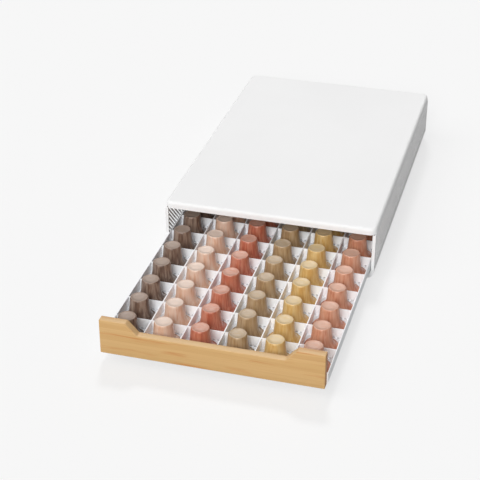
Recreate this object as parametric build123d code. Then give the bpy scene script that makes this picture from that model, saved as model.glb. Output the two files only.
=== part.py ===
from build123d import *
import math
import os

# A pull-out drawer for coffee pods that stands under a coffee machine.
# A white steel sleeve with slanted slots in both sides holds a shallow tray.
# The tray has a bamboo front, an egg-crate of low dividers and 54 pods.
# The tray is modelled pulled out, as it stands in the photograph.
# X is the width, Y runs to the back, Z is up, all in millimetres.

# Sleeve
WIDTH = 249.5
DEPTH = 391.5
HEIGHT = 66.4
FOOT_H = 2.0
FOOT_D = 14.0
FOOT_INSET_X = 26.0
FOOT_INSET_Y = 24.0
SHEET = 1.2
LOW_CORNER_R = 10.0
LOW_WALL_H = 12.0
ROOF_CORNER_R = 8.0
ROOF_EDGE_R = 3.2
FRONT_LIP_H = 7.9
ROOF_SIDE_H = 4.0
SEAM = 0.5
FRONT_RIM_W = 3.6
THRESHOLD_H = 5.0
OPENING_CORNER_R = 6.4
BACK_FLANGE_W = 9.0
JOGGLE_LAP = 4.0
FIT_CLEAR = 0.3

# Slanted slots in the sides
SLOT_PITCH = 5.85
SLOT_W = 2.1
GRILLE_END = 9.0
GRILLE_LOW = 6.0
GRILLE_HIGH = 3.0

# Drawer tray
RUN_CLEAR = 0.3
SIDE_CLEAR = 0.75
TRAY_SHEET = 1.0
TRAY_LIFT = 12.3
TRAY_WALL_H = 13.4
TRAY_CORNER_R = 1.9
COLUMNS = 6
ROWS = 9
BACK_SPACE = 27.54
FRONT_ROW_EXTRA = 4.2
DIVIDER_T = 1.2
CROSS_T = 0.8
FOOT_ARCH_W = 2.0
FOOT_ARCH_H = 1.4
FOOT_ARCH_OUT = (9.0, 13.9)

# Bamboo front
FRONT_SIDE_GAP = 2.15
FRONT_TOP_GAP = 6.4
FRONT_LIFT = 11.7
FRONT_T = 9.0
FRONT_EDGE_R = 1.6
FRONT_CORNER_R = 2.5
NOTCH_DEPTH = 13.0
NOTCH_EAR = 29.0
NOTCH_SLOPE = 12.0
NOTCH_R = 2.0

# Travel
DRAWER_OPEN = 234.4
STOP_TRAVEL = 290.0

# Runners and stops
RUNNER_W = 10.0
RUNNER_INSET = 35.15
RUNNER_SETBACK = 1.0
END_STOP_L = 6.0
END_STOP_H = 8.0
CATCH_W = 30.0
CATCH_T = 2.0
CATCH_PAD = 10.0
CATCH_GAP = 0.8

# Fasteners
RIVET_D = 3.2
RIVET_HEAD_D = 6.0
RIVET_HEAD_H = 1.0
RIVET_PITCH = 15.0
RIVET_ROWS = 3
SCREW_D = 3.0
SCREW_HEAD_D = 6.4
SCREW_HEAD_H = 1.8
SCREW_BITE = 6.0
SCREW_COLUMNS = (0, 2, 3, 5)
HOLE_CLEAR = 0.1

# Pods
CELL_ROOM = 1.8
POD_ROOM = 0.14
POD_H = 27.0
POD_FLANGE_T = 1.1
POD_FLARE_OUT = 5.4
POD_FLARE_SAG = 0.38
POD_FLARE_H = 9.0
POD_LOW_D = 23.2
POD_SHOULDER_D = 20.4
POD_SHOULDER_H = 26.0
POD_TOP_D = 18.8
POD_WALL = 0.8
POD_LID_INSET = 0.7
POD_LID_T = 0.3
POD_COLUMNS = ("dark", "peach", "red", "khaki", "yellow", "salmon")

HALF = WIDTH / 2
BASE_Z = FOOT_H
BASE_TOP = BASE_Z + SHEET
ROOF_UNDER = HEIGHT - SHEET
SIDE_LOW = BASE_Z + LOW_WALL_H
SIDE_TOP = HEIGHT - ROOF_SIDE_H - SEAM
LIP_LOW = HEIGHT - FRONT_LIP_H
OPENING_HALF = HALF - FRONT_RIM_W
TRAY_HALF = OPENING_HALF - SIDE_CLEAR
TRAY_BACK_FACE = -DRAWER_OPEN + FRONT_T
END_WALL_OUT = TRAY_SHEET - CROSS_T / 2
FRONT_W = 2 * (OPENING_HALF - FRONT_SIDE_GAP)
FRONT_H = LIP_LOW - FRONT_TOP_GAP - FRONT_LIFT
RUNNER_X = OPENING_HALF - RUNNER_INSET
# The cells share the tray's inside width, and the rows share what the stops leave of the depth.
COLUMN_PITCH = (2 * (TRAY_HALF - TRAY_SHEET) + DIVIDER_T) / COLUMNS
ROWS_END = DEPTH - 2 * SHEET - BACK_SPACE - END_STOP_L - RUN_CLEAR
ROW_PITCH = (ROWS_END - FRONT_T - FRONT_ROW_EXTRA - END_WALL_OUT) / ROWS
TRAY_LEN = FRONT_ROW_EXTRA + ROWS * ROW_PITCH + END_WALL_OUT
# A pod fits the narrower way of its cell.
POD_FLANGE_D = min(COLUMN_PITCH - DIVIDER_T - CELL_ROOM, ROW_PITCH - CROSS_T - POD_ROOM)
TRAY_FLOOR = TRAY_LIFT + TRAY_SHEET
TRAY_TOP = TRAY_LIFT + TRAY_WALL_H
POD_BASE = TRAY_FLOOR
# The middle of the whole length, open drawer included, is the origin in Y.
MIDDLE_Y = (DEPTH + RIVET_HEAD_H - DRAWER_OPEN) / 2


def block(x0, x1, y0, y1, z0, z1):
    size = Box(x1 - x0, y1 - y0, z1 - z0, align=(Align.MIN, Align.MIN, Align.MIN))
    return Pos(x0, y0, z0) * size


def along_y(face, y0, y1):
    # Extrudes a face drawn in X and Z from y0 to y1.
    return extrude(Pos(0, y0, 0) * face, amount=y1 - y0, dir=(0, 1, 0))


def xz_face(points):
    return make_face(Plane.XZ * Polyline(*points, close=True))


def pod_row_y(row):
    return TRAY_BACK_FACE + FRONT_ROW_EXTRA + (row + 0.5) * ROW_PITCH


def column_x(column):
    return (column - (COLUMNS - 1) / 2) * COLUMN_PITCH


def rounded_low_outline(half, low, top, radius):
    # A U outline: square at the top, round at both lower corners.
    plate = Pos(0, (low + top) / 2) * Rectangle(2 * half, top - low)
    corners = plate.vertices().filter_by(lambda v: v.Y < (low + top) / 2)
    return Plane.XZ * fillet(corners, radius)


def clip(points, axis, limit, keep_above):
    # Keeps the part of a flat polygon on one side of a limit.
    kept = []
    for i, a in enumerate(points):
        b = points[(i + 1) % len(points)]
        a_in = (a[axis] >= limit) == keep_above
        b_in = (b[axis] >= limit) == keep_above
        if a_in:
            kept.append(a)
        if a_in != b_in:
            t = (limit - a[axis]) / (b[axis] - a[axis])
            kept.append((a[0] + t * (b[0] - a[0]), a[1] + t * (b[1] - a[1])))
    return kept


def slant_strip(y_mid, z0, z1, width, lean):
    # A strip at 45 degrees through the middle height of a band.
    half_y = width / math.sqrt(2)
    run = (z1 - z0) / 2 * lean
    return [(y_mid - run - half_y, z0), (y_mid - run + half_y, z0),
            (y_mid + run + half_y, z1), (y_mid + run - half_y, z1)]


def slot_cutters(y0, y1, z0, z1, pitch, width, lean, x0, x1):
    # All slanted slots of a band from y0 to y1, cut square at its ends.
    reach = (z1 - z0) / 2
    count = int((y1 - y0 + 2 * reach) / pitch)
    start = (y0 + y1) / 2 - (count - 1) / 2 * pitch
    cutters = []
    for i in range(count):
        strip = slant_strip(start + i * pitch, z0, z1, width, lean)
        strip = clip(strip, 0, y0, True)
        strip = clip(strip, 0, y1, False) if len(strip) > 2 else []
        if len(strip) < 3:
            continue
        area = 0.0
        for a, b in zip(strip, strip[1:] + strip[:1]):
            area += (a[0] * b[1] - b[0] * a[1]) / 2
        if abs(area) < width * width * 2:
            continue
        face = make_face(Plane.YZ * Polyline(*strip, close=True))
        cutters.append(extrude(Pos(x0, 0, 0) * face, amount=x1 - x0, dir=(1, 0, 0)))
    return cutters


# Roof: a flat sheet with its four edges folded down.
roof = block(-HALF, HALF, 0, DEPTH, LIP_LOW, HEIGHT)
roof = fillet(roof.edges().filter_by(Axis.Z), ROOF_CORNER_R)
roof = fillet(roof.faces().sort_by(Axis.Z)[-1].edges(), ROOF_EDGE_R)
under = block(-HALF + SHEET, HALF - SHEET, SHEET, DEPTH - SHEET, 0, ROOF_UNDER)
under = fillet(under.edges().filter_by(Axis.Z), ROOF_CORNER_R - SHEET)
under = fillet(under.faces().sort_by(Axis.Z)[-1].edges(), ROOF_EDGE_R - SHEET)
roof -= under
for x0, x1 in ((-WIDTH, -HALF + SHEET + 0.1), (HALF - SHEET - 0.1, WIDTH)):
    roof -= block(x0, x1, ROOF_CORNER_R, DEPTH - ROOF_CORNER_R, 0, HEIGHT - ROOF_SIDE_H)

# Base: a folded pan with round lower corners, a front threshold and a low back.
pan = along_y(rounded_low_outline(HALF, BASE_Z, SIDE_LOW, LOW_CORNER_R), 0, DEPTH)
hollow = rounded_low_outline(HALF - SHEET, BASE_TOP, HEIGHT, LOW_CORNER_R - SHEET)
pan -= along_y(hollow, SHEET, DEPTH - SHEET)
threshold_z = BASE_Z + THRESHOLD_H
mouth = rounded_low_outline(OPENING_HALF, threshold_z, HEIGHT, OPENING_CORNER_R)
pan -= along_y(mouth, -1, SHEET + 1)
pan -= along_y(mouth, DEPTH - SHEET - 1, DEPTH + 1)

# Sides: flat sheets with slanted slots, a front rim, a back flange and a joggle under the roof.
side_in = HALF - SHEET
grille_low = SIDE_LOW + GRILLE_LOW
grille_high = SIDE_TOP - JOGGLE_LAP - GRILLE_HIGH
rivet_zs = []
for i in range(RIVET_ROWS):
    rivet_zs.append((SIDE_LOW + SIDE_TOP - JOGGLE_LAP) / 2 + (i - (RIVET_ROWS - 1) / 2) * RIVET_PITCH)
rivet_x = HALF - BACK_FLANGE_W / 2 - SHEET / 2
back_y = DEPTH - SHEET


def side_panel(sign, lean):
    def slab(x0, x1, y0, y1, z0, z1):
        return block(min(sign * x0, sign * x1), max(sign * x0, sign * x1), y0, y1, z0, z1)

    panel = slab(side_in, HALF, 0, DEPTH, SIDE_LOW, SIDE_TOP)
    panel += slab(OPENING_HALF, HALF, 0, SHEET, SIDE_LOW, LIP_LOW)
    panel += slab(HALF - BACK_FLANGE_W, HALF, back_y, DEPTH, SIDE_LOW, LIP_LOW)
    end = ROOF_CORNER_R + SEAM
    panel -= slab(side_in - SHEET, HALF + 1, -1, end, LIP_LOW, HEIGHT)
    panel -= slab(side_in - SHEET, HALF + 1, DEPTH - end, DEPTH + 1, LIP_LOW, HEIGHT)
    panel += slab(side_in - SHEET, side_in, end, DEPTH - end, SIDE_TOP - JOGGLE_LAP, ROOF_UNDER - ROOF_EDGE_R)
    x0 = min(sign * (side_in - 1), sign * (HALF + 1))
    x1 = max(sign * (side_in - 1), sign * (HALF + 1))
    cutters = slot_cutters(GRILLE_END, DEPTH - GRILLE_END, grille_low, grille_high,
                           SLOT_PITCH, SLOT_W, lean, x0, x1)
    panel -= cutters
    hole = Cylinder(RIVET_D / 2 + HOLE_CLEAR, 6 * SHEET, rotation=(90, 0, 0))
    for z in rivet_zs:
        panel -= Pos(sign * rivet_x, back_y, z) * hole
    return panel


right_side = side_panel(1, 1)
left_side = side_panel(-1, -1)

# Back: one flat sheet behind the lips.
back_half = side_in - SHEET - FIT_CLEAR
back = block(-back_half, back_half, back_y - SHEET, back_y, BASE_TOP, ROOF_UNDER - ROOF_EDGE_R)
back = fillet(back.edges().filter_by(Axis.Y).group_by(Axis.Z)[0], LOW_CORNER_R)
for x0, x1 in ((-HALF, -HALF + ROOF_CORNER_R + FIT_CLEAR), (HALF - ROOF_CORNER_R - FIT_CLEAR, HALF)):
    back -= block(x0, x1, 0, DEPTH, LIP_LOW, HEIGHT)
rivet_hole = Cylinder(RIVET_D / 2 + HOLE_CLEAR, 6 * SHEET, rotation=(90, 0, 0))
for sign in (-1, 1):
    for z in rivet_zs:
        back -= Pos(sign * rivet_x, back_y, z) * rivet_hole

# Rivets through the back flanges.
def rivet(x, z):
    up = (Align.CENTER, Align.CENTER, Align.MIN)
    axis = Plane((x, back_y - SHEET - RIVET_HEAD_H, z), x_dir=(1, 0, 0), z_dir=(0, 1, 0))
    tail = axis * Cylinder(RIVET_HEAD_D * 0.4, RIVET_HEAD_H, align=up)
    shank = axis * Cylinder(RIVET_D / 2, 2 * SHEET + RIVET_HEAD_H, align=up)
    head = axis.offset(2 * SHEET + RIVET_HEAD_H) * Cylinder(RIVET_HEAD_D / 2, RIVET_HEAD_H, align=up)
    head = fillet(head.edges().sort_by(Axis.Y)[-1], RIVET_HEAD_H * 0.6)
    return tail + shank + head


rivets = []
for sign in (-1, 1):
    for z in rivet_zs:
        rivets.append(rivet(sign * rivet_x, z))

# Rubber feet under the base.
feet = []
for sx in (-1, 1):
    for y in (FOOT_INSET_Y, DEPTH - FOOT_INSET_Y):
        foot = Cylinder(FOOT_D / 2, FOOT_H, align=(Align.CENTER, Align.CENTER, Align.MIN))
        feet.append(Pos(sx * (HALF - FOOT_INSET_X), y, 0) * foot)

# Two plastic runners on the base carry the tray and end in a stop.
runner_top = TRAY_LIFT - RUN_CLEAR
tray_closed_end = FRONT_T + TRAY_LEN
stop_y = tray_closed_end + RUN_CLEAR


def runner(sign):
    x0 = sign * RUNNER_X - RUNNER_W / 2
    x1 = sign * RUNNER_X + RUNNER_W / 2
    strip = block(x0, x1, FRONT_T + RUNNER_SETBACK, stop_y + END_STOP_L, BASE_TOP, runner_top)
    strip += block(x0, x1, stop_y, stop_y + END_STOP_L, BASE_TOP, runner_top + END_STOP_H)
    return strip


# Tray: a thin steel pan with rounded long edges and a plain floor.
tray_y0 = TRAY_BACK_FACE
tray_y1 = TRAY_BACK_FACE + TRAY_LEN
tray = along_y(rounded_low_outline(TRAY_HALF, TRAY_LIFT, TRAY_TOP, TRAY_CORNER_R), tray_y0, tray_y1)
tray_inside = rounded_low_outline(TRAY_HALF - TRAY_SHEET, TRAY_FLOOR, TRAY_TOP + TRAY_CORNER_R,
                                  TRAY_CORNER_R - TRAY_SHEET)
tray -= along_y(tray_inside, tray_y0 + TRAY_SHEET, tray_y1 - TRAY_SHEET)
screw_zs = TRAY_LIFT + TRAY_WALL_H / 2 + 1.0
screw_xs = []
for column in SCREW_COLUMNS:
    screw_xs.append(column_x(column))
screw_hole = Cylinder(SCREW_D / 2 + HOLE_CLEAR, 4 * TRAY_SHEET, rotation=(90, 0, 0))
for x in screw_xs:
    tray -= Pos(x, tray_y0, screw_zs) * screw_hole

# Catches under the tray meet the threshold at full travel.
catch_y = SHEET + RUN_CLEAR + STOP_TRAVEL - DRAWER_OPEN
catches = []
for sign in (-1, 1):
    x0 = sign * RUNNER_X / 2 - CATCH_W / 2
    x1 = x0 + CATCH_W
    leg = block(x0, x1, catch_y, catch_y + CATCH_T, BASE_TOP + CATCH_GAP, TRAY_LIFT)
    pad = block(x0, x1, catch_y, catch_y + CATCH_PAD, TRAY_LIFT - CATCH_T, TRAY_LIFT)
    catches.append(leg + pad)

# Dividers: half-lap sheets with small arches in their lower edges.
half_lap = TRAY_FLOOR + (TRAY_TOP - TRAY_FLOOR) / 2
long_notch = CROSS_T + 2 * HOLE_CLEAR
cross_notch = DIVIDER_T + 2 * HOLE_CLEAR
crossings = []
for row in range(ROWS - 1):
    crossings.append(TRAY_BACK_FACE + FRONT_ROW_EXTRA + (row + 1) * ROW_PITCH)
long_xs = []
for column in range(COLUMNS - 1):
    long_xs.append(column_x(column) + COLUMN_PITCH / 2)
inner_y0 = tray_y0 + TRAY_SHEET
inner_y1 = tray_y1 - TRAY_SHEET


def foot_arch(x, y, turn):
    spring = FOOT_ARCH_H - FOOT_ARCH_W / 2
    arch = block(-FOOT_ARCH_W / 2, FOOT_ARCH_W / 2, -DIVIDER_T, DIVIDER_T, -FOOT_ARCH_H, spring)
    arch += Pos(0, 0, spring) * Cylinder(FOOT_ARCH_W / 2, 2 * DIVIDER_T, rotation=(90, 0, 0))
    return Pos(x, y, TRAY_FLOOR) * Rot(0, 0, turn) * arch


def long_divider(x):
    sheet = block(x - DIVIDER_T / 2, x + DIVIDER_T / 2, inner_y0, inner_y1, TRAY_FLOOR, TRAY_TOP)
    cutters = []
    for y in crossings:
        cutters.append(block(x - 2, x + 2, y - long_notch / 2, y + long_notch / 2, half_lap, TRAY_TOP + 1))
    for row in range(ROWS):
        for out in FOOT_ARCH_OUT:
            cutters.append(foot_arch(x, pod_row_y(row) - out, 90))
            cutters.append(foot_arch(x, pod_row_y(row) + out, 90))
    return sheet - cutters


def cross_divider(y):
    half = TRAY_HALF - TRAY_SHEET - HOLE_CLEAR
    side = rounded_low_outline(half, TRAY_FLOOR, TRAY_TOP, TRAY_CORNER_R - TRAY_SHEET)
    sheet = along_y(side, y - CROSS_T / 2, y + CROSS_T / 2)
    cutters = []
    for x in long_xs:
        cutters.append(block(x - cross_notch / 2, x + cross_notch / 2, y - 2, y + 2, 0, half_lap))
    for column in range(COLUMNS):
        for out in FOOT_ARCH_OUT:
            cutters.append(foot_arch(column_x(column) - out, y, 0))
            cutters.append(foot_arch(column_x(column) + out, y, 0))
    return sheet - cutters


# Bamboo front: a thick board with a wide shallow finger notch in its top edge.
front_low = FRONT_LIFT
front_top = front_low + FRONT_H
fh = FRONT_W / 2
front_points = [(-fh, front_low), (fh, front_low), (fh, front_top), (fh - NOTCH_EAR, front_top),
                (fh - NOTCH_EAR - NOTCH_SLOPE, front_top - NOTCH_DEPTH),
                (-fh + NOTCH_EAR + NOTCH_SLOPE, front_top - NOTCH_DEPTH),
                (-fh + NOTCH_EAR, front_top), (-fh, front_top)]
board = along_y(xz_face(front_points), -DRAWER_OPEN, TRAY_BACK_FACE)
bends = board.edges().filter_by(Axis.Y).filter_by(lambda e: abs(e.center().X) < fh - 1)
board = fillet(bends, NOTCH_R)
ends = board.edges().filter_by(Axis.Y).filter_by(lambda e: abs(e.center().X) > fh - 1)
board = fillet(ends, FRONT_CORNER_R)
face_front = board.faces().sort_by(Axis.Y)[0]
face_back = board.faces().sort_by(Axis.Y)[-1]
board = fillet(list(face_front.edges()) + list(face_back.edges()), FRONT_EDGE_R)
pilot = Cylinder(SCREW_D / 2 + HOLE_CLEAR, 2 * SCREW_BITE, rotation=(90, 0, 0))
for x in screw_xs:
    board -= Pos(x, TRAY_BACK_FACE, screw_zs) * pilot

# Screws from inside the tray into the board.
screws = []
for x in screw_xs:
    head_plane = Plane((x, tray_y0 + TRAY_SHEET, screw_zs), x_dir=(1, 0, 0), z_dir=(0, 1, 0))
    head = head_plane * Cylinder(SCREW_HEAD_D / 2, SCREW_HEAD_H,
                                 align=(Align.CENTER, Align.CENTER, Align.MIN))
    head = fillet(head.edges().sort_by(Axis.Y)[-1], SCREW_HEAD_H * 0.5)
    shank = head_plane * Cylinder(SCREW_D / 2, SCREW_BITE, align=(Align.CENTER, Align.CENTER, Align.MAX))
    socket = head_plane.offset(SCREW_HEAD_H) * Cylinder(SCREW_D * 0.4, SCREW_HEAD_H * 0.8)
    screws.append(head + shank - socket)

# Pods stand upside down on their flanges.
r_flange = POD_FLANGE_D / 2
r_low = POD_LOW_D / 2
r_shoulder = POD_SHOULDER_D / 2
r_top = POD_TOP_D / 2
r_lid = r_flange - POD_LID_INSET


def pod_shell():
    flange_top = POD_LID_T + POD_FLANGE_T
    flare_bend = (r_low + POD_FLARE_SAG * POD_FLARE_OUT,
                  flange_top + POD_FLARE_SAG * (POD_FLARE_H - flange_top))
    flare_foot = (r_low + POD_FLARE_OUT, flange_top)
    with BuildPart() as pod:
        with BuildSketch(Plane.XZ):
            with BuildLine():
                Polyline((0, POD_H), (r_top, POD_H), (r_shoulder, POD_SHOULDER_H), (r_low, POD_FLARE_H))
                ThreePointArc((r_low, POD_FLARE_H), flare_bend, flare_foot)
                Polyline(flare_foot, (r_flange, flange_top), (r_flange, 0), (r_lid, 0), (r_lid, POD_LID_T),
                         (r_low + POD_FLARE_OUT / 2, POD_LID_T), (r_low - POD_WALL, POD_FLARE_H),
                         (r_shoulder - POD_WALL, POD_SHOULDER_H - POD_WALL),
                         (r_top - POD_WALL, POD_H - POD_WALL), (0, POD_H - POD_WALL), (0, POD_H))
            make_face()
        revolve(axis=Axis.Z)
    return pod.part


one_pod = pod_shell()
one_lid = Cylinder(r_lid - HOLE_CLEAR / 2, POD_LID_T, align=(Align.CENTER, Align.CENTER, Align.MIN))

NODES = {
    "roof_panel": [roof],
    "base_pan": [pan],
    "left_side_grille": [left_side],
    "right_side_grille": [right_side],
    "back_panel": [back],
    "back_rivets": rivets,
    "rubber_feet": feet,
    "left_runner": [runner(-1)],
    "right_runner": [runner(1)],
    "tray_pan": [tray],
    "tray_catches": catches,
    "bamboo_front": [board],
    "front_screws": screws,
}
for i, x in enumerate(long_xs):
    NODES["long_divider_" + str(i + 1)] = [long_divider(x)]
for i, y in enumerate(crossings):
    NODES["cross_divider_" + str(i + 1)] = [cross_divider(y)]
for column, colour in enumerate(POD_COLUMNS):
    shells = []
    lids = []
    for row in range(ROWS):
        place = Pos(column_x(column), pod_row_y(row), POD_BASE)
        shells.append(place * one_pod)
        lids.append(place * one_lid)
    NODES["pods_" + colour] = shells
    NODES["lids_" + colour] = lids

os.makedirs("parts", exist_ok=True)
for name, solids in NODES.items():
    moved = []
    for solid in solids:
        for piece in (Pos(0, -MIDDLE_Y, 0) * solid).solids():
            moved.append(piece)
    shape = moved[0] if len(moved) == 1 else Compound(children=moved)
    export_step(shape, "parts/" + name + ".step")
print(len(NODES), "nodes; part length", DEPTH + DRAWER_OPEN, "height", HEIGHT)
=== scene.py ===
import math

import bpy
from mathutils import Matrix, Vector


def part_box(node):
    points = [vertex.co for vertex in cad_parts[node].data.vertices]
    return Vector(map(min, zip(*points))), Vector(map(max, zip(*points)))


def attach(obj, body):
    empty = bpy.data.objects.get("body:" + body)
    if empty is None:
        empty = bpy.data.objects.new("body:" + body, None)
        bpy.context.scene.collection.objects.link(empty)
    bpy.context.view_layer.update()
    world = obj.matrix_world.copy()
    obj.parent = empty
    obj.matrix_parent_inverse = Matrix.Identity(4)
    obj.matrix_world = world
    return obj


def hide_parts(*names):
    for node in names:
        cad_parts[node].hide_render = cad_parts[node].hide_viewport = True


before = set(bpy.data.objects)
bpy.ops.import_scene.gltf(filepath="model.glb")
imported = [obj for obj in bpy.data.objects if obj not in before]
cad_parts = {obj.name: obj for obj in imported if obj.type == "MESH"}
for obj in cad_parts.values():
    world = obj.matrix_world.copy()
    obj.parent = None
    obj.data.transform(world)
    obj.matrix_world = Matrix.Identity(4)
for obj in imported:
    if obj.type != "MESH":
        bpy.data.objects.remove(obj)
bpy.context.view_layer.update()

X, Y, Z = range(3)


class Wire:
    """An output socket in a node tree that plain sums can use."""

    def __init__(self, tree, socket=None):
        self.tree = tree
        self.socket = socket

    def add(self, kind, settings=(), values=(), out=0):
        """Adds one shader node, its settings first, then its values or links."""
        node = self.tree.nodes.new("ShaderNode" + kind)
        for name, setting in dict(settings).items():
            if name == "stops":
                ramp = node.color_ramp
                while len(ramp.elements) < len(setting):
                    ramp.elements.new(0.5)
                for element, (place, colour) in zip(ramp.elements, setting):
                    element.position = place
                    element.color = colour
            else:
                setattr(node, name, setting)
        for name, value in dict(values).items():
            if isinstance(value, Wire):
                self.tree.links.new(value.socket, node.inputs[name])
            else:
                node.inputs[name].default_value = value
        return Wire(self.tree, node.outputs[out] if node.outputs else None)

    def show(self, kind="Material"):
        """Links this shader to its tree's output."""
        self.add("Output" + kind, {}, {0: self})

    def maths(self, operation, a, b=0.0):
        return self.add("Math", {"operation": operation}, {0: a, 1: b})

    def __add__(self, other):
        return self.maths("ADD", self, other)

    __radd__ = __add__

    def __sub__(self, other):
        return self.maths("SUBTRACT", self, other)

    def __rsub__(self, other):
        return self.maths("SUBTRACT", other, self)

    def __mul__(self, other):
        return self.maths("MULTIPLY", self, other)

    __rmul__ = __mul__


def bare_tree(owner):
    """Empties the node tree of a material or a world, and gives a wire to build on."""
    owner.use_nodes = True
    owner.node_tree.nodes.clear()
    return Wire(owner.node_tree)


def new_finish(name):
    finish = bpy.data.materials.new(name)
    return finish, bare_tree(finish)


def coated(wire, **sockets):
    """Ends a finish in a Principled shader, whose sockets are written with _ for a space."""
    values = {name.replace("_", " "): value for name, value in sockets.items()}
    wire.add("BsdfPrincipled", {}, values).show()


def object_place(wire):
    return wire.add("TexCoord", out=3)


def axis_of(wire, place, axis):
    return wire.add("SeparateXYZ", {}, {0: place}, out=axis)


def stretched(wire, place, scale, shift=(0.0, 0.0, 0.0), turn=0.0):
    """A place for a pattern that is scaled, shifted, and turned about Z."""
    values = {"Vector": place, "Scale": scale, "Location": shift, "Rotation": (0.0, 0.0, turn)}
    return wire.add("Mapping", {}, values)


def blotches(wire, place, scale=1.0, detail=3.0, roughness=0.5):
    values = {"Vector": place, "Scale": scale, "Detail": detail, "Roughness": roughness}
    return wire.add("TexNoise", {}, values)


def spread(wire, value, low, high, new_low=0.0, new_high=1.0):
    """Maps a value from one range to another, and keeps it inside that."""
    values = {"Value": value, "From Min": low, "From Max": high,
              "To Min": new_low, "To Max": new_high}
    return wire.add("MapRange", {"clamp": True}, values)


def mixed(wire, factor, first, second):
    return wire.add("Mix", {"data_type": "RGBA"}, {0: factor, 6: first, 7: second}, out=2)


def tinted(wire, tone, colour, pattern, start, full, most=1.0):
    """Turns a tone towards a colour, from none where the pattern is at start to most at full."""
    return mixed(wire, spread(wire, pattern, start, full, 0.0, most), tone, colour)


def roughened(wire, grain, low, high):
    """A roughness from low to high over the range in which nearly all of a noise lies."""
    return spread(wire, grain, 0.3, 0.7, low, high)


def bumped(wire, height, strength, distance):
    values = {"Height": height, "Strength": strength, "Distance": distance}
    return wire.add("Bump", {}, values)


def rgb(*shown):
    """A linear colour from the eight-bit red, green and blue that a picture shows."""
    def linear(part):
        return part / 12.92 if part <= 0.04045 else ((part + 0.055) / 1.055) ** 2.4
    return tuple(linear(part / 255.0) for part in shown) + (1.0,)


# The scales of the powder coat's patterns, and the values of a cloud at which a tone starts to
# brighten and is brightest.
COAT_CLOUD = 9.0
COAT_GRIT = 420.0
COAT_PEEL = 1500.0
CLOUD_DIM = 0.35
CLOUD_BRIGHT = 0.65

# The foot arches of a cross divider. A pair of them stands on each side of a column's middle:
# ARCH_MIDDLE is from there to the pair's middle, and ARCH_APART from that to each arch's.
COLUMN_MIDDLE = 0.020
COLUMN_PITCH = 0.040
ARCH_MIDDLE = 0.01145
ARCH_APART = 0.00245
ARCH_REACH = 0.0010
ARCH_TOP = 0.0149
ARCH_SOFT = 0.0003
# ARCH_SHADE is painted shade, laid on the coat round each arch up to ARCH_TOP.
ARCH_SHADE = rgb(96, 100, 106)


def painted_arch_shade_mask(wire, place):
    """The mask of painted shade: 1 near the foot arches of a cross divider, 0 elsewhere."""
    pitches = (axis_of(wire, place, X) - COLUMN_MIDDLE) * (1.0 / COLUMN_PITCH)
    from_middle = (wire.maths("FRACT", pitches + 0.5) - 0.5) * COLUMN_PITCH
    from_pair = wire.maths("ABSOLUTE", from_middle) - ARCH_MIDDLE
    from_arch = wire.maths("ABSOLUTE", wire.maths("ABSOLUTE", from_pair) - ARCH_APART)
    near = spread(wire, from_arch, ARCH_REACH + ARCH_SOFT, ARCH_REACH - ARCH_SOFT)
    low = spread(wire, axis_of(wire, place, Z), ARCH_TOP + ARCH_SOFT, ARCH_TOP - ARCH_SOFT)
    return near * low


def powder_coat(name, dim, bright, painted_arch_shade=False):
    finish, wire = new_finish(name)
    place = object_place(wire)
    cloud = blotches(wire, place, COAT_CLOUD, detail=2.0)
    grit = blotches(wire, place, COAT_GRIT, detail=2.0)
    peel = blotches(wire, place, COAT_PEEL, detail=1.0)
    tone = tinted(wire, dim, bright, cloud, CLOUD_DIM, CLOUD_BRIGHT)
    # Painted shade round the foot arches.
    if painted_arch_shade:
        tone = mixed(wire, painted_arch_shade_mask(wire, place), tone, ARCH_SHADE)
    coated(wire, Base_Color=tone, Roughness=roughened(wire, grit, 0.56, 0.66),
           Specular_IOR_Level=0.25,
           Normal=bumped(wire, peel * 0.6 + grit * 0.4, strength=0.10, distance=0.0002))
    return finish


# The bamboo's glued strips: how many lie in a metre of height and of depth, how many of their
# widths they wander along the board, and the share of each that its dark seam takes.
STRIPS_UP = 215.0
STRIPS_BACK = 150.0
STRIP_WANDER = 1.1
SEAM_SHARE = 0.05
STRIP_TONES = ((0.0, rgb(196, 150, 95)), (0.45, rgb(205, 165, 108)), (1.0, rgb(214, 176, 122)))
FIBRE_BROWN = rgb(183, 132, 75)
PATCH_BROWN = rgb(191, 121, 56)
SEAM_BROWN = rgb(170, 117, 64)


def bamboo_board(name, other=None, share=0.0):
    """Laminated bamboo: thin strips, long fine fibres and a few browner patches.

    Every pattern is drawn out along X, the length of the board. Where another colour is given,
    the whole tone takes a share of it.
    """
    finish, wire = new_finish(name)
    place = object_place(wire)
    wander = blotches(wire, stretched(wire, place, (5.0, 14.0, 14.0)), detail=2.0)
    fibre = blotches(wire, stretched(wire, place, (16.0, 1100.0, 1100.0)), detail=4.0,
                     roughness=0.65)
    streak = blotches(wire, stretched(wire, place, (8.0, 330.0, 330.0), shift=(3.0, 1.0, 2.0)),
                      roughness=0.55)
    patch = blotches(wire, stretched(wire, place, (17.0, 210.0, 210.0), shift=(7.0, 4.0, 9.0)),
                     detail=2.0)
    band = (axis_of(wire, place, Z) * STRIPS_UP + axis_of(wire, place, Y) * STRIPS_BACK
            + wander * STRIP_WANDER)
    strip = wire.maths("FLOOR", band)
    strip_tone = wire.add("TexWhiteNoise", {"noise_dimensions": "1D"}, {"W": strip})
    seam = wire.maths("LESS_THAN", wire.maths("FRACT", band), SEAM_SHARE)
    tone = wire.add("ValToRGB", {"stops": STRIP_TONES}, {0: strip_tone * 0.5 + streak * 0.5})
    tone = tinted(wire, tone, FIBRE_BROWN, fibre, 0.5, 0.8, most=0.38)
    tone = tinted(wire, tone, PATCH_BROWN, patch, 0.58, 0.74, most=0.7)
    tone = mixed(wire, seam * 0.22, tone, SEAM_BROWN)
    if other:
        tone = mixed(wire, share, tone, other)
    height = fibre * 0.6 + streak * 0.4 - seam * 0.4
    coated(wire, Base_Color=tone, Roughness=roughened(wire, fibre, 0.46, 0.60),
           Normal=bumped(wire, height, strength=0.14, distance=0.0003))
    return finish
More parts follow.
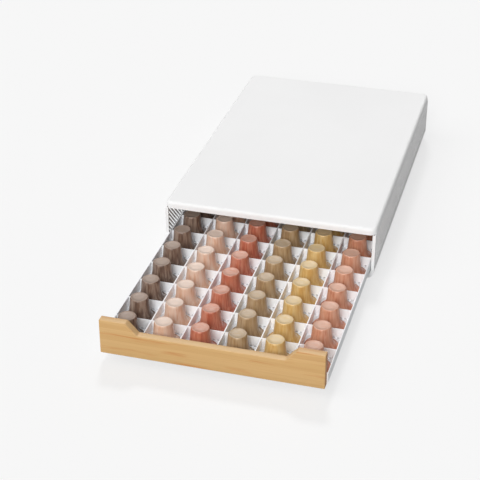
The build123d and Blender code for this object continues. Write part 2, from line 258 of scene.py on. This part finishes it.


# The heights between which a pod's painted shade at the foot gives way to its side colour,
# the scale of its fine grain, and the slant of the painted glare in its disc.
FOOT_SHADE_UP_TO = 0.0135
SIDE_UNSHADED_FROM = 0.027
POD_GRAIN = 2600.0
GLARE_SLANT = math.radians(-35)


def pod_skin(name, side, glint_tone, shade_tone):
    """Satin anodised skin: painted reflections and painted shade run up the side in soft
    streaks, and painted shade darkens the foot.
    """
    finish, wire = new_finish(name)
    place = object_place(wire)
    broad = blotches(wire, stretched(wire, place, (170.0, 170.0, 14.0)), detail=1.0)
    streak = blotches(wire, stretched(wire, place, (430.0, 430.0, 40.0)), roughness=0.55)
    fine = blotches(wire, stretched(wire, place, (900.0, 900.0, 20.0)), detail=2.0,
                    roughness=0.6)
    cloud = blotches(wire, place, 120.0, detail=2.0)
    grain = blotches(wire, place, POD_GRAIN, detail=1.0)
    # Painted shade at the foot.
    tone = tinted(wire, shade_tone, side, axis_of(wire, place, Z), FOOT_SHADE_UP_TO, SIDE_UNSHADED_FROM)
    # Painted reflections and painted shade: streaks towards the glint tone and towards the shade
    # tone.
    tone = tinted(wire, tone, glint_tone, broad, 0.52, 0.66, most=0.55)
    tone = tinted(wire, tone, shade_tone, broad, 0.46, 0.34, most=0.55)
    tone = tinted(wire, tone, glint_tone, streak, 0.50, 0.64, most=0.7)
    tone = tinted(wire, tone, shade_tone, streak, 0.47, 0.36, most=0.75)
    tone = tinted(wire, tone, glint_tone, fine, 0.45, 0.75, most=0.22)
    tone = tinted(wire, tone, glint_tone, cloud, 0.4, 0.7, most=0.12)
    height = broad * 0.6 + streak * 0.6 + grain * 0.05
    coated(wire, Base_Color=tone, Metallic=0.1, Roughness=roughened(wire, grain, 0.40, 0.50),
           Coat_Weight=0.5, Coat_Roughness=0.32,
           Normal=bumped(wire, height, strength=0.18, distance=0.001))
    return finish


def pod_disc(name, face, glare_tone):
    """The pod's top disc: paler than its side, with slanted streaks of painted glare in it."""
    finish, wire = new_finish(name)
    place = object_place(wire)
    cloud = blotches(wire, stretched(wire, place, (190.0, 620.0, 190.0), turn=GLARE_SLANT))
    grain = blotches(wire, place, POD_GRAIN, detail=1.0)
    # Painted glare: slanted streaks towards the glare tone.
    tone = tinted(wire, face, glare_tone, cloud, 0.42, 0.66, most=0.8)
    coated(wire, Base_Color=tone, Metallic=0.05, Roughness=roughened(wire, grain, 0.42, 0.52),
           Normal=bumped(wire, cloud * 0.5 + grain * 0.1, strength=0.2, distance=0.0004))
    return finish


# A plain finish: the scale of its clouds, how much brighter they are, how far its roughness
# goes both ways, and how its pattern is drawn out along Y where it is brushed.
PLAIN_CLOUD = 40.0
PLAIN_BRIGHTER = 1.12
PLAIN_ROUGH_PLAY = 0.06
BRUSHED = (1.0, 0.12, 1.0)


def plain_finish(name, colour, rough, metal=0.0, grain_scale=900.0, brushed=False):
    finish, wire = new_finish(name)
    place = object_place(wire)
    if brushed:
        place = stretched(wire, place, BRUSHED)
    grain = blotches(wire, place, grain_scale)
    cloud = blotches(wire, place, PLAIN_CLOUD, detail=2.0)
    brighter = tuple(min(1.0, part * PLAIN_BRIGHTER) for part in colour[:3]) + (1.0,)
    tone = tinted(wire, colour, brighter, cloud, CLOUD_DIM, CLOUD_BRIGHT)
    roughness = roughened(wire, grain, rough - PLAIN_ROUGH_PLAY, rough + PLAIN_ROUGH_PLAY)
    coated(wire, Base_Color=tone, Metallic=metal, Roughness=roughness,
           Normal=bumped(wire, grain, strength=0.15, distance=0.0002))
    return finish


def dress(piece, *finishes):
    piece.data.materials.clear()
    for finish in finishes:
        piece.data.materials.append(finish)


def nothing_selected():
    bpy.ops.object.select_all(action="DESELECT")


def mode(name):
    bpy.ops.object.mode_set(mode=name)


def settled(name):
    """Names the active piece, the only one selected, and puts its place into its mesh."""
    bpy.ops.object.transform_apply(location=True, rotation=True, scale=True)
    piece = bpy.context.object
    piece.name = name
    piece.data.name = name
    return piece


def smooth(sharp):
    """Smooths the active piece, and keeps the edges that bend by more degrees sharp."""
    bpy.ops.object.shade_smooth_by_angle(angle=math.radians(sharp))


# A pod's rings, from its rim over the flange and up the side to the top disc: each one's radius
# and height in millimetres.
POD_RINGS = (
    (18.5, 0.0), (18.5, 0.9), (18.3, 1.3), (17.8, 1.45), (16.8, 1.6), (16.0, 2.0), (15.2, 2.65),
    (14.5, 3.4), (13.8, 4.3), (13.2, 5.3), (12.65, 6.5), (12.15, 8.0), (11.7, 9.8),
    (11.35, 12.0), (11.0, 14.8), (10.7, 18.0), (10.4, 21.5), (10.15, 24.0), (9.95, 25.3),
    (9.75, 25.95), (9.5, 26.45), (9.2, 26.8), (8.9, 26.97), (8.65, 27.0), (8.45, 26.92),
    (8.3, 26.8),
)
POD_SIDES = 64
POD_SHARP = 50

# The disc's flat middle takes this share of the last ring, and the disc's finish starts at this
# height over the flange's underside.
DISC_MIDDLE_SHARE = 0.5
DISC_FLOOR = 0.02675

# Each pod is turned by an angle of its own, in degrees, so that the flats round its side don't
# line up with those of its neighbours.
PODS_IN_COLUMN = 9
TURN_PER_ROW = 47
TURN_PER_LETTER = 13

# For each colour: the side, its painted reflections, its painted shade in streaks and at the
# foot, and the paler disc.
POD_COLOURS = {
    "dark": (rgb(114, 86, 68), rgb(158, 136, 120), rgb(80, 54, 42), rgb(160, 141, 129)),
    "peach": (rgb(224, 186, 161), rgb(226, 200, 182), rgb(210, 160, 128), rgb(220, 199, 185)),
    "red": (rgb(193, 110, 81), rgb(204, 138, 114), rgb(168, 80, 55), rgb(206, 161, 143)),
    "khaki": (rgb(174, 143, 102), rgb(188, 162, 128), rgb(147, 113, 74), rgb(188, 168, 144)),
    "yellow": (rgb(216, 178, 109), rgb(220, 190, 134), rgb(197, 147, 69), rgb(215, 192, 155)),
    "salmon": (rgb(207, 145, 114), rgb(214, 162, 136), rgb(185, 113, 82), rgb(210, 169, 149)),
}


def turned_pod():
    """One pod, drawn up ring by ring from its rim and closed by the disc."""
    nothing_selected()
    bpy.ops.mesh.primitive_circle_add(vertices=POD_SIDES, radius=POD_RINGS[0][0] / 1000,
                                      fill_type="NOTHING")
    pod = bpy.context.object
    mode("EDIT")
    bpy.ops.mesh.select_all(action="SELECT")
    for (r0, z0), (r1, z1) in zip(POD_RINGS, POD_RINGS[1:]):
        rise = {"value": (0.0, 0.0, (z1 - z0) / 1000)}
        bpy.ops.mesh.extrude_region_move(TRANSFORM_OT_translate=rise)
        bpy.ops.transform.resize(value=(r1 / r0, r1 / r0, 1.0))
    bpy.ops.mesh.extrude_region_move()
    bpy.ops.transform.resize(value=(DISC_MIDDLE_SHARE, DISC_MIDDLE_SHARE, 1.0))
    bpy.ops.mesh.edge_face_add()
    bpy.ops.mesh.select_all(action="SELECT")
    bpy.ops.mesh.normals_make_consistent(inside=False)
    mode("OBJECT")
    smooth(POD_SHARP)
    return pod


def pod_column(model, name):
    """A column of pods in one colour, each a copy of the model with its own mesh."""
    low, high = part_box("pods_" + name)
    x = (low.x + high.x) / 2
    radius = (high.x - low.x) / 2
    first = low.y + radius
    step = (high.y - low.y - 2 * radius) / (PODS_IN_COLUMN - 1)
    nothing_selected()
    for row in range(PODS_IN_COLUMN):
        pod = bpy.data.objects.new("pod", model.data.copy())
        bpy.context.scene.collection.objects.link(pod)
        pod.location = (x, first + row * step, low.z)
        turn = TURN_PER_ROW * row + TURN_PER_LETTER * len(name)
        pod.rotation_euler.z = math.radians(turn)
        pod.select_set(True)
        if row == 0:
            bpy.context.view_layer.objects.active = pod
    bpy.ops.object.join()
    column = settled("pod_column_" + name)
    side, glint_tone, shade_tone, disc = POD_COLOURS[name]
    dress(column, pod_skin("pod_skin_" + name, side, glint_tone, shade_tone),
          pod_disc("pod_disc_" + name, disc, glint_tone))
    for face in column.data.polygons:
        if face.center.z > low.z + DISC_FLOOR:
            face.material_index = 1
    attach(column, "drawer")
    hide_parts("pods_" + name)
    "pod_" + name


# The front board. Its notch leaves an ear at both ends and slopes down beside each, and the
# edges that bend by more degrees than EDGE_BEND are rounded.
NOTCH_EAR = 0.029
NOTCH_SLOPE = 0.012
NOTCH_DEPTH = 0.013
NOTCH_TOLERANCE = 0.0001
EDGE_ROUND = 0.0010
EDGE_STEPS = 4
EDGE_BEND = 20
BOARD_SHARP = 35

# Faces whose normal points up or sideways by more than these are the board's upper edges, which
# are painted paler as painted light, and its ends, which are darker: end grain and painted
# shade.
UPWARD = 0.6
SIDEWAYS = 0.85
PAINTED_LIGHT_TONE = rgb(235, 204, 163)
PAINTED_LIGHT_SHARE = 0.27
END_GRAIN_AND_SHADE = rgb(178, 112, 56)
END_GRAIN_AND_SHADE_SHARE = 0.75


def front_board():
    """A block, cut across at the notch's four bends, with its middle pushed down."""
    low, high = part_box("bamboo_front")
    nothing_selected()
    bpy.ops.mesh.primitive_cube_add(size=1.0, location=(low + high) / 2)
    board = bpy.context.object
    board.scale = high - low
    settled("front_board")
    ear = high.x - NOTCH_EAR
    foot = ear - NOTCH_SLOPE
    mode("EDIT")
    for x in (-ear, -foot, foot, ear):
        bpy.ops.mesh.select_all(action="SELECT")
        bpy.ops.mesh.bisect(plane_co=(x, 0, 0), plane_no=(1, 0, 0))
    bpy.ops.mesh.select_all(action="DESELECT")
    mode("OBJECT")
    for vertex in board.data.vertices:
        on_top = vertex.co.z > high.z - NOTCH_TOLERANCE
        vertex.select = on_top and abs(vertex.co.x) < foot + NOTCH_TOLERANCE
    mode("EDIT")
    bpy.ops.transform.translate(value=(0, 0, -NOTCH_DEPTH))
    mode("OBJECT")
    bevel = board.modifiers.new("soft_edges", "BEVEL")
    bevel.width = EDGE_ROUND
    bevel.segments = EDGE_STEPS
    bevel.limit_method = "ANGLE"
    bevel.angle_limit = math.radians(EDGE_BEND)
    bpy.ops.object.modifier_apply(modifier=bevel.name)
    smooth(BOARD_SHARP)
    dress(board, bamboo_board("bamboo_face"),
          bamboo_board("bamboo_edge", PAINTED_LIGHT_TONE, PAINTED_LIGHT_SHARE),
          bamboo_board("bamboo_end", END_GRAIN_AND_SHADE, END_GRAIN_AND_SHADE_SHARE))
    for face in board.data.polygons:
        # Painted light on the faces that look up.
        if face.normal.z > UPWARD:
            face.material_index = 1
        # Painted shade with the end grain on the ends.
        if abs(face.normal.x) > SIDEWAYS:
            face.material_index = 2
    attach(board, "drawer")
    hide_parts("bamboo_front")


def dress_solids():
    """Gives the pieces that keep their solids a finish, by how their names start."""
    sleeve = powder_coat("sleeve_coat", rgb(241, 241, 241), rgb(243, 243, 243))
    # Painted light: the tray's white is brighter than the sleeve's, to make up for the shade in
    # the cells.
    brightened_tray_whites = rgb(249, 251, 254), rgb(251, 253, 255)
    tray = powder_coat("tray_coat", *brightened_tray_whites)
    runner = plain_finish("runner_plastic", rgb(214, 214, 210), rough=0.5)
    finishes = {
        "roof_panel": sleeve,
        "base_pan": sleeve,
        "left_side_grille": sleeve,
        "right_side_grille": sleeve,
        "back_panel": sleeve,
        "back_rivets": plain_finish("painted_rivets", rgb(226, 226, 226), rough=0.45),
        "rubber_feet": plain_finish("foot_rubber", rgb(52, 52, 54), rough=0.8),
        "left_runner": runner,
        "right_runner": runner,
        "tray_": tray,
        "long_divider_": tray,
        "cross_divider_": powder_coat("cross_divider_coat", *brightened_tray_whites, painted_arch_shade=True),
        "front_screws": plain_finish("plated_screws", rgb(178, 180, 184), rough=0.32, metal=1.0,
                                     grain_scale=1800.0, brushed=True),
        "lids_": plain_finish("lid_foil", rgb(206, 206, 208), rough=0.3, metal=1.0,
                              grain_scale=700.0),
    }
    for node_name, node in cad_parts.items():
        for start, finish in finishes.items():
            if node_name.startswith(start):
                dress(node, finish)


dress_solids()
pod_model = turned_pod()
for colour_name in POD_COLOURS:
    pod_column(pod_model, colour_name)
bpy.data.objects.remove(pod_model)
front_board()


# The studio: a pale floor and sky, which the camera sees brighter than they light the object,
# a main light from the front, weaker ones from the left and from behind, and the camera at the
# photograph's angle.
FLOOR_SIZE = 14.0
FLOOR_AT = (0, 2.0, 0)
FLOOR_SEEN = 0.30
FLOOR_GLOW = 0.636
FLOOR_BOUNCE = 0.62
SKY_SEEN = 0.92
SKY_LIGHT = 0.22
LAMP_AWAY = 3
LENS_PIXELS = 1315.4
FRAME_PIXELS = 480.0
SENSOR_WIDTH = 36.0
CLIP_START = 0.05
CLIP_END = 50.0
CAMERA_AT = Vector((0.321085, -1.354980, 0.799020))
CAMERA_LOOK = Vector((-0.23176471, 0.83277002, -0.50277152))
CAMERA_UP = Vector((-0.13629476, 0.48394704, 0.8644183))


def grey(level):
    return (level, level, level, 1.0)


def seen_apart(wire, lighting, seen):
    """One shader for what the camera sees, and another for the light that reaches the part."""
    camera_ray = wire.add("LightPath", out=0)
    return wire.add("MixShader", {}, {0: camera_ray, 1: lighting, 2: seen})


def pale_floor():
    nothing_selected()
    bpy.ops.mesh.primitive_plane_add(size=FLOOR_SIZE, location=FLOOR_AT)
    floor = bpy.context.object
    floor.name = "studio_floor"
    finish, wire = new_finish("studio_floor")
    matt = wire.add("BsdfDiffuse", {}, {"Color": grey(FLOOR_SEEN)})
    glow = wire.add("Emission", {}, {"Color": grey(1.0), "Strength": FLOOR_GLOW})
    bounce = wire.add("BsdfDiffuse", {}, {"Color": grey(FLOOR_BOUNCE)})
    seen_apart(wire, bounce, wire.add("AddShader", {}, {0: matt, 1: glow})).show()
    dress(floor, finish)


def sky():
    world = bpy.data.worlds.new("studio_sky")
    bpy.context.scene.world = world
    wire = bare_tree(world)
    dim = wire.add("Background", {}, {"Color": grey(1.0), "Strength": SKY_LIGHT})
    white = wire.add("Background", {}, {"Color": grey(1.0), "Strength": SKY_SEEN})
    seen_apart(wire, dim, white).show("World")


def soft_sun(name, azimuth, elevation, power, width):
    """A wide even light. Azimuth 0 is in front, and 90 is on the right."""
    light = bpy.data.lights.new(name, "SUN")
    light.energy = power
    light.angle = math.radians(width)
    lamp = bpy.data.objects.new(name, light)
    bpy.context.scene.collection.objects.link(lamp)
    around, up = math.radians(azimuth), math.radians(elevation)
    lamp.location = LAMP_AWAY * Vector((math.sin(around) * math.cos(up),
                                        -math.cos(around) * math.cos(up), math.sin(up)))
    lamp.rotation_euler = (-lamp.location).to_track_quat("-Z", "Y").to_euler()


def camera():
    eye = bpy.data.cameras.new("photo_camera")
    eye.sensor_width = SENSOR_WIDTH
    eye.lens = LENS_PIXELS / FRAME_PIXELS * SENSOR_WIDTH
    eye.clip_start = CLIP_START
    eye.clip_end = CLIP_END
    holder = bpy.data.objects.new("photo_camera", eye)
    bpy.context.scene.collection.objects.link(holder)
    look = CAMERA_LOOK.normalized()
    up = (CAMERA_UP - look * CAMERA_UP.dot(look)).normalized()
    right = look.cross(up)
    turn = Matrix((right, up, -look)).transposed().to_4x4()
    holder.matrix_world = Matrix.Translation(CAMERA_AT) @ turn
    bpy.context.scene.camera = holder


pale_floor()
sky()
soft_sun("key_light", azimuth=4, elevation=30, power=1.80, width=25)
soft_sun("left_light", azimuth=-50, elevation=48, power=0.98, width=50)
soft_sun("back_light", azimuth=196, elevation=50, power=0.98, width=10)
camera()
bpy.context.scene.view_settings.view_transform = "Standard"
